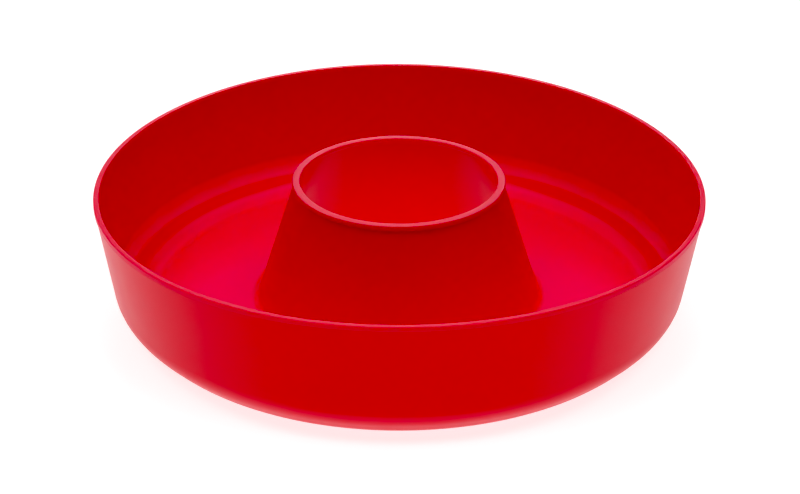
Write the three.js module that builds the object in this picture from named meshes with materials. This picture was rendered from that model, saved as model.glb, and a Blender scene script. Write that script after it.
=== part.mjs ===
// A round, open ring pan, moulded in one piece from soft silicone rubber.
//
// The pan is one shell of even thickness, turned about +Z. Its outer wall leans outwards and ends in
// a small square lip. A sloping shoulder joins the wall to the flat floor of a ring-shaped trough,
// and a hollow cone stands in the middle of the floor, open at its top and at its foot.
//
// Frame: millimetres, +Z up. The origin is the centre of the base, on the plane the pan stands on.

import * as THREE from 'three';

// Driving dimensions, in millimetres and degrees.
const RIM_RADIUS = 125;          // axis to the outside of the lip
const PAN_HEIGHT = 55;           // base plane to the rim, and to the cone's top, which is level with it
const SHELL_THICKNESS = 2.2;
const WALL_DRAFT = 8.3;          // lean of the outer wall from the vertical
const CONE_DRAFT = 17.7;         // lean of the cone's side from the vertical
const SHOULDER_HEIGHT = 11;      // base plane to the wall's foot, on the underside
const BASE_RADIUS = 108;         // axis to the shoulder's foot, on the underside
const HOLLOW_TOP_RADIUS = 40.3;  // the opening in the cone's top
const SHOULDER_BEND = 12;        // trough-side radius at the shoulder's top and foot
const CONE_FOOT_BEND = 3.2;      // trough-side radius where the cone meets the floor
const LIP_HEIGHT = 1.8;
const RIM_LIP_WIDTH = 0.3;       // how far the rim's lip stands out of the wall
const CONE_LIP_WIDTH = 0.9;      // how far the cone's lip stands out of its side
const LIP_EDGE_RADIUS = 0.4;
const OPENING_EDGE_RADIUS = 0.7; // at the top of the cone's hollow

// Fineness of the faceted solid.
const TURN_SEGMENTS = 72;
const BEND_STEPS = 4;
const EDGE_STEPS = 2;

const SILICONE = { color: 0xc40310, roughness: 0.45, metalness: 0 };

const slope = (degrees) => Math.tan(THREE.MathUtils.degToRad(degrees));
const point = (radius, height) => new THREE.Vector2(radius, height);
const heading = (from, to) => to.clone().sub(from).normalize();
const rightOf = (direction) => point(direction.y, -direction.x);

// Replaces each inner corner of an open path with an arc of that corner's radius.
function rounded(corners, radii, steps) {
  const path = [corners[0]];
  for (let i = 1; i < corners.length - 1; i += 1) {
    const into = heading(corners[i - 1], corners[i]);
    const out = heading(corners[i], corners[i + 1]);
    const turn = Math.atan2(into.cross(out), into.dot(out));
    const radius = radii[i - 1];
    const side = rightOf(into).multiplyScalar(-Math.sign(turn));
    const start = corners[i].clone().addScaledVector(into, -radius * Math.tan(Math.abs(turn) / 2));
    const centre = start.clone().addScaledVector(side, radius);
    for (let step = 0; step <= steps; step += 1) {
      path.push(start.clone().rotateAround(centre, (turn * step) / steps));
    }
  }
  path.push(corners[corners.length - 1]);
  return path;
}

// Moves a path sideways, to the right of its direction, and keeps its straights parallel.
function shifted(corners, distance) {
  return corners.map((corner, i) => {
    const before = rightOf(heading(corners[Math.max(i - 1, 0)], corners[Math.max(i, 1)]));
    const last = corners.length - 1;
    const after = rightOf(heading(corners[Math.min(i, last - 1)], corners[Math.min(i + 1, last)]));
    const mitre = before.clone().add(after).multiplyScalar(distance / (1 + before.dot(after)));
    return corner.clone().add(mitre);
  });
}

// Slides the end of a straight along itself to a given height.
function cutAtHeight(end, inner, height) {
  const along = heading(inner, end);
  return inner.clone().addScaledVector(along, (height - inner.y) / along.y);
}

// The underside, from the wall under its lip, down and in to the base, and up inside the cone.
function undersideCorners() {
  const wallTop = point(RIM_RADIUS - RIM_LIP_WIDTH, PAN_HEIGHT - LIP_HEIGHT);
  const wallFoot = point(
    wallTop.x - (wallTop.y - SHOULDER_HEIGHT) * slope(WALL_DRAFT),
    SHOULDER_HEIGHT,
  );
  const shoulderFoot = point(BASE_RADIUS, 0);
  const hollowFoot = point(HOLLOW_TOP_RADIUS + PAN_HEIGHT * slope(CONE_DRAFT), 0);
  const hollowTop = point(HOLLOW_TOP_RADIUS, PAN_HEIGHT);
  return [wallTop, wallFoot, shoulderFoot, hollowFoot, hollowTop];
}

// The closed outline of the shell in the half plane (radius, height). It runs up the wall's outside
// and back along the trough, the way that turns its faces outwards.
function shellOutline() {
  const under = undersideCorners();
  const trough = shifted(under, SHELL_THICKNESS);
  const last = trough.length - 1;
  trough[0] = cutAtHeight(trough[0], trough[1], PAN_HEIGHT);
  trough[last] = cutAtHeight(trough[last], trough[last - 1], PAN_HEIGHT - LIP_HEIGHT);

  const bends = [SHOULDER_BEND, SHOULDER_BEND, CONE_FOOT_BEND];
  const underBends = bends.map((radius) => radius + SHELL_THICKNESS);
  const underside = rounded(under, underBends, BEND_STEPS).slice(0, -1);
  const troughSide = rounded(trough, bends, BEND_STEPS).reverse();

  const coneLipRadius = trough[last].x + CONE_LIP_WIDTH;
  const coneLip = rounded([
    under[last - 1],
    under[last],
    point(coneLipRadius, PAN_HEIGHT),
    point(coneLipRadius, PAN_HEIGHT - LIP_HEIGHT),
    trough[last],
  ], [OPENING_EDGE_RADIUS, LIP_EDGE_RADIUS, LIP_EDGE_RADIUS / 2], EDGE_STEPS).slice(1, -1);
  const rimLip = rounded([
    trough[0],
    point(RIM_RADIUS, PAN_HEIGHT),
    point(RIM_RADIUS, PAN_HEIGHT - LIP_HEIGHT),
    under[0],
  ], [LIP_EDGE_RADIUS, LIP_EDGE_RADIUS / 2], EDGE_STEPS).slice(1, -1);

  return [...underside, ...coneLip, ...troughSide, ...rimLip, underside[0].clone()].reverse();
}

function ringPan() {
  const geometry = new THREE.LatheGeometry(shellOutline(), TURN_SEGMENTS);
  geometry.rotateX(Math.PI / 2);
  const mesh = new THREE.Mesh(geometry, new THREE.MeshStandardMaterial(SILICONE));
  mesh.name = 'ring_pan';
  return mesh;
}

const pan = new THREE.Group();
pan.name = 'pan';
pan.add(ringPan());

export default pan;
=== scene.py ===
"""A soft red silicone ring pan on a glowing white table, under soft studio light.

The pan is one moulding: an even shell turned about +Z, with a sloping outer wall, a ring-shaped
trough and a hollow cone that is open at its top and foot. Lengths are millimetres until the mesh is
made, and metres after that. Angles around the pan start at its front (-Y) and go towards +X.
"""

import cmath
import math

import bpy
from mathutils import Matrix, Vector


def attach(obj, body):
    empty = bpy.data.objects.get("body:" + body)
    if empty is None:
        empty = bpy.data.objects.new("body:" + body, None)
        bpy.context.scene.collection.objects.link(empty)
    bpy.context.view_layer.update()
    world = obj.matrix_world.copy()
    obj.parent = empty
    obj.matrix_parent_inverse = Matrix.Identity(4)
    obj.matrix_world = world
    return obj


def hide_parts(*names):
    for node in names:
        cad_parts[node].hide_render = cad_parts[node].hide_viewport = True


MM = 0.001

# The shell's driving dimensions.
RIM_RADIUS = 125.0
PAN_HEIGHT = 55.0
SHELL_THICKNESS = 2.2
WALL_DRAFT = 8.3
CONE_DRAFT = 17.7
SHOULDER_HEIGHT = 11.0
BASE_RADIUS = 108.0
HOLLOW_TOP_RADIUS = 40.3
SHOULDER_BEND = 12.0
CONE_FOOT_BEND = 3.2
LIP_HEIGHT = 1.8
RIM_LIP_WIDTH = 0.3
CONE_LIP_WIDTH = 0.9
LIP_EDGE_RADIUS = 0.4
OPENING_EDGE_RADIUS = 0.7
FINE_EDGE_RADIUS = 0.25
LIP_FILLET = 0.4             # under each lip

# The rim of the soft pan has settled slightly out of round: (lobes, cosine, sine) of the rim radius.
RIM_SETTLING = ((2, 0.0014, 0.0024), (3, -0.0090, -0.0013))
FIRM_RADIUS = 70             # nothing has settled inside this radius
SOFT_RADIUS = 100            # the settling is complete outside this one

# Fineness of the mesh.
TURN_SEGMENTS = 288
ARC_STEP = math.radians(7.5)
STRAIGHT_STEP = 2.5
EDGE_STEP = 0.3

# The silicone. Colours are linear, and a noise is (scale, detail).
SILICONE_DARK = (0.74, 0.002, 0.003)
SILICONE_LIGHT = (0.78, 0.003, 0.004)
# a pinkish colour painted in as highlights, standing in for reflected light
SILICONE_PAINTED_HIGHLIGHT = (0.84, 0.004, 0.14)
SILICONE_ROUGHNESS = (0.31, 0.39)
SILICONE_SHEEN = (1.0, 0.7, 0.7, 1.0)
SILICONE_IOR = 1.41
SILICONE_DEPTH = 0.0035      # how far red light spreads inside the silicone, in metres
SILICONE_SPREAD = (1.0, 0.04, 0.04)  # how far red, green and blue spread, as shares of that
SILICONE_COLOUR_NOISE = (14, 3)
SILICONE_ROUGHNESS_NOISE = (60, 4)
GRAIN_NOISE = (1800, 3)
GRAIN_STRENGTH = 0.25
GRAIN_DEPTH = 0.00003        # in metres

# Painted highlights where the trough bends, as paler bands: (radius, height, share), each a ring
# above the surface, in millimetres. A band is full up to one distance from its ring and gone at the
# other.
BEND_HIGHLIGHT_BANDS = ((113.5, 14.0, 1.0), (105.9, 6.4, 0.68))
HIGHLIGHT_BAND_FULL = 3.7
HIGHLIGHT_BAND_END = 5.3

# Painted highlights that make the floor and the lips paler.
FLOOR_FULL_HEIGHT = 3.5
FLOOR_END_HEIGHT = 6.5
FLOOR_FULL_RADIUS = 107.0
FLOOR_END_RADIUS = 110.0
FLOOR_HIGHLIGHT_SHARE = 0.5
LIP_FULL_HEIGHT = 53.4
LIP_END_HEIGHT = 53.1
LIP_HIGHLIGHT_SHARE = 0.24

TABLE_HALF_WIDTH = 4.0
TABLE_DARK = (0.39, 0.39, 0.39)
TABLE_LIGHT = (0.41, 0.41, 0.41)
TABLE_ROUGHNESS = (0.86, 0.94)
TABLE_GLOW = 0.80
TABLE_COLOUR_NOISE = (9, 3)
TABLE_ROUGHNESS_NOISE = (40, 3)

# The lamps, each as (azimuth, elevation, strength). Azimuth 0 is the camera's side, 90 is +X.
LAMPS = (
    (180, 8, 0.49),
    (240, 8, 0.43),
    (108, 45, 0.26),
    (180, 45, 0.51),
    (252, 45, 0.16),
    (60, 65, 0.73),
    (300, 65, 0.83),
    (0, 88, 0.47),
)
LAMP_SPREAD = math.radians(26)
BLACK_LEVEL = (0.0, 0.054, 0.037)  # of red, green and blue

# The camera. Its distance and aim are metres, and its lens and sensor are millimetres.
CAMERA_ELEVATION = math.radians(27.313)
CAMERA_DISTANCE = 0.83987
CAMERA_AIM = (0.00053, 0, 0.02344)
CAMERA_ROLL = 0.00186        # in radians
CAMERA_LENS = 90
CAMERA_SENSOR = 36


def slope(degrees):
    return math.tan(math.radians(degrees))


def heading(start, end):
    return (end - start) / abs(end - start)


def shifted(corners, distance):
    """A parallel path, the given distance to the right of an open path."""
    rights = [heading(a, b) * -1j for a, b in zip(corners, corners[1:])]
    result = []
    for i, corner in enumerate(corners):
        before = rights[max(i - 1, 0)]
        after = rights[min(i, len(rights) - 1)]
        cosine = (before * after.conjugate()).real
        result.append(corner + (before + after) * distance / (1 + cosine))
    return result


def at_height(end, inner, height):
    """The point at that height on the line through two points."""
    along = heading(inner, end)
    return inner + along * (height - inner.imag) / along.imag


def outline_corners():
    """The corners of the closed shell outline, radius + height * 1j, each with its edge radius."""
    wall_top = complex(RIM_RADIUS - RIM_LIP_WIDTH, PAN_HEIGHT - LIP_HEIGHT)
    wall_drop = wall_top.imag - SHOULDER_HEIGHT
    under = [
        wall_top,
        complex(wall_top.real - wall_drop * slope(WALL_DRAFT), SHOULDER_HEIGHT),
        complex(BASE_RADIUS, 0),
        complex(HOLLOW_TOP_RADIUS + PAN_HEIGHT * slope(CONE_DRAFT), 0),
        complex(HOLLOW_TOP_RADIUS, PAN_HEIGHT),
    ]
    trough = shifted(under, SHELL_THICKNESS)
    trough[0] = at_height(trough[0], trough[1], PAN_HEIGHT)
    trough[4] = at_height(trough[4], trough[3], PAN_HEIGHT - LIP_HEIGHT)
    cone_lip = trough[4].real + CONE_LIP_WIDTH
    return [
        (under[0], LIP_FILLET),
        (under[1], SHOULDER_BEND + SHELL_THICKNESS),
        (under[2], SHOULDER_BEND + SHELL_THICKNESS),
        (under[3], CONE_FOOT_BEND + SHELL_THICKNESS),
        (under[4], OPENING_EDGE_RADIUS),
        (complex(cone_lip, PAN_HEIGHT), LIP_EDGE_RADIUS),
        (complex(cone_lip, PAN_HEIGHT - LIP_HEIGHT), FINE_EDGE_RADIUS),
        (trough[4], LIP_FILLET),
        (trough[3], CONE_FOOT_BEND),
        (trough[2], SHOULDER_BEND),
        (trough[1], SHOULDER_BEND),
        (trough[0], FINE_EDGE_RADIUS),
        (complex(RIM_RADIUS, PAN_HEIGHT), LIP_EDGE_RADIUS),
        (complex(RIM_RADIUS, PAN_HEIGHT - LIP_HEIGHT), FINE_EDGE_RADIUS),
    ]


def corner_arc(before, corner, after, radius):
    into = heading(before, corner)
    turn = cmath.phase(heading(corner, after) / into)
    start = corner - into * radius * math.tan(abs(turn) / 2)
    centre = start + into * 1j * math.copysign(radius, turn)
    steps = max(3, math.ceil(abs(turn) / ARC_STEP))
    return [
        centre + (start - centre) * cmath.rect(1, turn * step / steps)
        for step in range(steps + 1)
    ]


def straight_points(start, end):
    """Even points inside a straight, with one close to each end so that the edges shade crisply."""
    length = abs(end - start)
    if length < 4 * EDGE_STEP:
        return []
    along = heading(start, end)
    inner = length - 2 * EDGE_STEP
    steps = max(1, round(inner / STRAIGHT_STEP))
    return [start + along * (EDGE_STEP + inner * i / steps) for i in range(steps + 1)]


def shell_outline():
    corners = outline_corners()
    arcs = []
    for i, (corner, radius) in enumerate(corners):
        before = corners[i - 1][0]
        after = corners[(i + 1) % len(corners)][0]
        arcs.append(corner_arc(before, corner, after, radius))
    outline = []
    for i, arc in enumerate(arcs):
        outline += arc
        outline += straight_points(arc[-1], arcs[(i + 1) % len(arcs)][0])
    return outline


def smooth_step(value, low, high):
    t = min(max((value - low) / (high - low), 0.0), 1.0)
    return t * t * (3 - 2 * t)


def settled_radius(radius, height, angle):
    """The radius after the soft wall has settled: nothing at the base and the cone, most at the rim."""
    lobes = sum(c * math.cos(n * angle) + s * math.sin(n * angle) for n, c, s in RIM_SETTLING)
    share = height / PAN_HEIGHT * smooth_step(radius, FIRM_RADIUS, SOFT_RADIUS)
    return radius + RIM_RADIUS * lobes * share


def ring_pan():
    outline = shell_outline()
    rows = len(outline)
    verts = []
    for turn in range(TURN_SEGMENTS):
        angle = 2 * math.pi * turn / TURN_SEGMENTS
        for p in outline:
            r = settled_radius(p.real, p.imag, angle)
            verts.append((r * math.sin(angle) * MM, -r * math.cos(angle) * MM, p.imag * MM))
    faces = []
    for turn in range(TURN_SEGMENTS):
        here = turn * rows
        there = (turn + 1) % TURN_SEGMENTS * rows
        for i in range(rows):
            j = (i + 1) % rows
            faces.append((here + i, here + j, there + j, there + i))
    mesh = bpy.data.meshes.new("ring_pan")
    mesh.from_pydata(verts, [], faces)
    mesh.validate()
    mesh.shade_smooth()
    pan = bpy.data.objects.new("silicone_ring_pan", mesh)
    bpy.context.scene.collection.objects.link(pan)
    return pan


def noise(material, scale, detail):
    """A three-dimensional noise fixed to the object, 0 to 1."""
    nodes, links = material.node_tree.nodes, material.node_tree.links
    place = nodes.new("ShaderNodeTexCoord")
    node = nodes.new("ShaderNodeTexNoise")
    node.inputs["Scale"].default_value = scale
    node.inputs["Detail"].default_value = detail
    links.new(place.outputs["Object"], node.inputs["Vector"])
    return node.outputs["Fac"]


def noisy_colour(material, texture, low, high):
    mix = material.node_tree.nodes.new("ShaderNodeMix")
    mix.data_type = "RGBA"
    mix.inputs["A"].default_value = (*low, 1)
    mix.inputs["B"].default_value = (*high, 1)
    material.node_tree.links.new(noise(material, *texture), mix.inputs["Factor"])
    return mix.outputs["Result"]


def noisy_value(material, texture, low, high):
    spread = material.node_tree.nodes.new("ShaderNodeMapRange")
    spread.inputs["To Min"].default_value = low
    spread.inputs["To Max"].default_value = high
    material.node_tree.links.new(noise(material, *texture), spread.inputs["Value"])
    return spread.outputs["Result"]


def calculated(material, operation, *values):
    """The result of a maths node; each value is a number or another node's output."""
    node = material.node_tree.nodes.new("ShaderNodeMath")
    node.operation = operation
    for socket, value in zip(node.inputs, values):
        if isinstance(value, (int, float)):
            socket.default_value = value
        else:
            material.node_tree.links.new(value, socket)
    return node.outputs[0]


def fade(material, value, full, none):
    """1 where the value is at full or beyond it, falling smoothly to 0 at none."""
    spread = material.node_tree.nodes.new("ShaderNodeMapRange")
    spread.interpolation_type = "SMOOTHSTEP"
    spread.inputs["From Min"].default_value = none
    spread.inputs["From Max"].default_value = full
    material.node_tree.links.new(value, spread.inputs["Value"])
    return spread.outputs["Result"]


def radius_and_height(material):
    nodes, links = material.node_tree.nodes, material.node_tree.links
    place = nodes.new("ShaderNodeTexCoord")
    split = nodes.new("ShaderNodeSeparateXYZ")
    links.new(place.outputs["Object"], split.inputs["Vector"])
    across = calculated(material, "MULTIPLY", split.outputs["X"], split.outputs["X"])
    along = calculated(material, "MULTIPLY", split.outputs["Y"], split.outputs["Y"])
    radius = calculated(material, "SQRT", calculated(material, "ADD", across, along))
    return radius, split.outputs["Z"]


def painted_band_near_ring(material, radius, height, ring):
    """A painted highlight band on the surface near a ring of the given radius and height, at its share.
    """
    ring_radius, ring_height, share = ring
    out = calculated(material, "SUBTRACT", radius, ring_radius * MM)
    up = calculated(material, "SUBTRACT", height, ring_height * MM)
    out_squared = calculated(material, "MULTIPLY", out, out)
    up_squared = calculated(material, "MULTIPLY", up, up)
    away = calculated(material, "SQRT", calculated(material, "ADD", out_squared, up_squared))
    near = fade(material, away, HIGHLIGHT_BAND_FULL * MM, HIGHLIGHT_BAND_END * MM)
    return calculated(material, "MULTIPLY", near, share)


def painted_highlight_places(material):
    """How much painted highlight the silicone gets, 0 to 1: at the shoulder's two bends, on the floor
    and on the lips.
    """
    radius, height = radius_and_height(material)
    places = [painted_band_near_ring(material, radius, height, ring) for ring in BEND_HIGHLIGHT_BANDS]
    # a painted highlight on the trough's floor
    low = fade(material, height, FLOOR_FULL_HEIGHT * MM, FLOOR_END_HEIGHT * MM)
    inner = fade(material, radius, FLOOR_FULL_RADIUS * MM, FLOOR_END_RADIUS * MM)
    floor = calculated(material, "MULTIPLY", low, inner)
    places.append(calculated(material, "MULTIPLY", floor, FLOOR_HIGHLIGHT_SHARE))
    # a painted highlight on the tops of the lips
    lips = fade(material, height, LIP_FULL_HEIGHT * MM, LIP_END_HEIGHT * MM)
    places.append(calculated(material, "MULTIPLY", lips, LIP_HIGHLIGHT_SHARE))
    most = places[0]
    for place in places[1:]:
        most = calculated(material, "MAXIMUM", most, place)
    return most


def grain(material):
    """The fine unevenness of the moulded surface."""
    bump = material.node_tree.nodes.new("ShaderNodeBump")
    bump.inputs["Strength"].default_value = GRAIN_STRENGTH
    bump.inputs["Distance"].default_value = GRAIN_DEPTH
    material.node_tree.links.new(noise(material, *GRAIN_NOISE), bump.inputs["Height"])
    return bump.outputs["Normal"]


# The red silicone mixed with painted highlights.
def silicone_colour_with_highlights(material):
    mix = material.node_tree.nodes.new("ShaderNodeMix")
    mix.data_type = "RGBA"
    mix.inputs["B"].default_value = (*SILICONE_PAINTED_HIGHLIGHT, 1)
    links = material.node_tree.links
    red = noisy_colour(material, SILICONE_COLOUR_NOISE, SILICONE_DARK, SILICONE_LIGHT)
    links.new(red, mix.inputs["A"])
    links.new(painted_highlight_places(material), mix.inputs["Factor"])
    return mix.outputs["Result"]


def silicone():
    """Satin red silicone that lets red light through its thin parts, with highlights painted into its
    colour at the trough's bends, floor and lips.
    """
    material = bpy.data.materials.new("silicone")
    material.use_nodes = True
    links = material.node_tree.links
    shader = material.node_tree.nodes["Principled BSDF"]
    shader.inputs["IOR"].default_value = SILICONE_IOR
    shader.inputs["Specular Tint"].default_value = SILICONE_SHEEN
    shader.inputs["Subsurface Weight"].default_value = 1.0
    shader.inputs["Subsurface Radius"].default_value = SILICONE_SPREAD
    shader.inputs["Subsurface Scale"].default_value = SILICONE_DEPTH
    roughness = noisy_value(material, SILICONE_ROUGHNESS_NOISE, *SILICONE_ROUGHNESS)
    links.new(silicone_colour_with_highlights(material), shader.inputs["Base Color"])
    links.new(roughness, shader.inputs["Roughness"])
    links.new(grain(material), shader.inputs["Normal"])
    return material


def table_sheet():
    """A matt grey sheet whose own glow makes it look white under the lamps."""
    material = bpy.data.materials.new("table")
    material.use_nodes = True
    links = material.node_tree.links
    shader = material.node_tree.nodes["Principled BSDF"]
    colour = noisy_colour(material, TABLE_COLOUR_NOISE, TABLE_DARK, TABLE_LIGHT)
    roughness = noisy_value(material, TABLE_ROUGHNESS_NOISE, *TABLE_ROUGHNESS)
    links.new(colour, shader.inputs["Base Color"])
    links.new(roughness, shader.inputs["Roughness"])
    shader.inputs["Emission Color"].default_value = (1, 1, 1, 1)
    shader.inputs["Emission Strength"].default_value = TABLE_GLOW
    return material


def table():
    mesh = bpy.data.meshes.new("table")
    half = TABLE_HALF_WIDTH
    mesh.from_pydata(
        [(-half, -half, 0), (half, -half, 0), (half, half, 0), (-half, half, 0)], [], [(0, 1, 2, 3)]
    )
    mesh.materials.append(table_sheet())
    sheet = bpy.data.objects.new("table", mesh)
    bpy.context.scene.collection.objects.link(sheet)


def studio():
    """Wide soft lamps all round the pan, and no light from the surroundings."""
    world = bpy.data.worlds.new("studio")
    bpy.context.scene.world = world
    world.use_nodes = True
    world.node_tree.nodes["Background"].inputs["Strength"].default_value = 0.0
    for azimuth, elevation, strength in LAMPS:
        light = bpy.data.lights.new("lamp", "SUN")
        light.angle = LAMP_SPREAD
        light.energy = strength
        lamp = bpy.data.objects.new("lamp", light)
        turn, lift = math.radians(azimuth), math.radians(elevation)
        towards = Vector(
            (math.sin(turn) * math.cos(lift), -math.cos(turn) * math.cos(lift), math.sin(lift))
        )
        lamp.rotation_euler = towards.to_track_quat("Z", "Y").to_euler()
        bpy.context.scene.collection.objects.link(lamp)


def exposure():
    """Deepens the reds: green and blue are cut off a little above black."""
    view = bpy.context.scene.view_settings
    view.view_transform = "Standard"
    view.use_curve_mapping = True
    view.curve_mapping.black_level = BLACK_LEVEL
    view.curve_mapping.white_level = (1, 1, 1)
    view.curve_mapping.update()


def camera():
    aim = Vector(CAMERA_AIM)
    away = Vector((0, -math.cos(CAMERA_ELEVATION), math.sin(CAMERA_ELEVATION)))
    data = bpy.data.cameras.new("camera")
    data.lens = CAMERA_LENS
    data.sensor_width = CAMERA_SENSOR
    eye = bpy.data.objects.new("camera", data)
    turn = away.to_track_quat("Z", "Y").to_matrix() @ Matrix.Rotation(CAMERA_ROLL, 3, "Z")
    eye.matrix_world = Matrix.Translation(aim + away * CAMERA_DISTANCE) @ turn.to_4x4()
    bpy.context.scene.collection.objects.link(eye)
    bpy.context.scene.camera = eye


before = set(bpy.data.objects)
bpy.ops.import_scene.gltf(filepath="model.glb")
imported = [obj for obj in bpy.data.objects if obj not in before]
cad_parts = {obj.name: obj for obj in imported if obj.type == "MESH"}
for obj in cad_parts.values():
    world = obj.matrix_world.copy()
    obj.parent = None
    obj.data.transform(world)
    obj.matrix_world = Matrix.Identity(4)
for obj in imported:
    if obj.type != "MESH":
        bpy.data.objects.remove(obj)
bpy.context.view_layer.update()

pan = ring_pan()
pan.data.materials.append(silicone())
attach(pan, "root")
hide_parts("ring_pan")

table()
studio()
camera()
exposure()
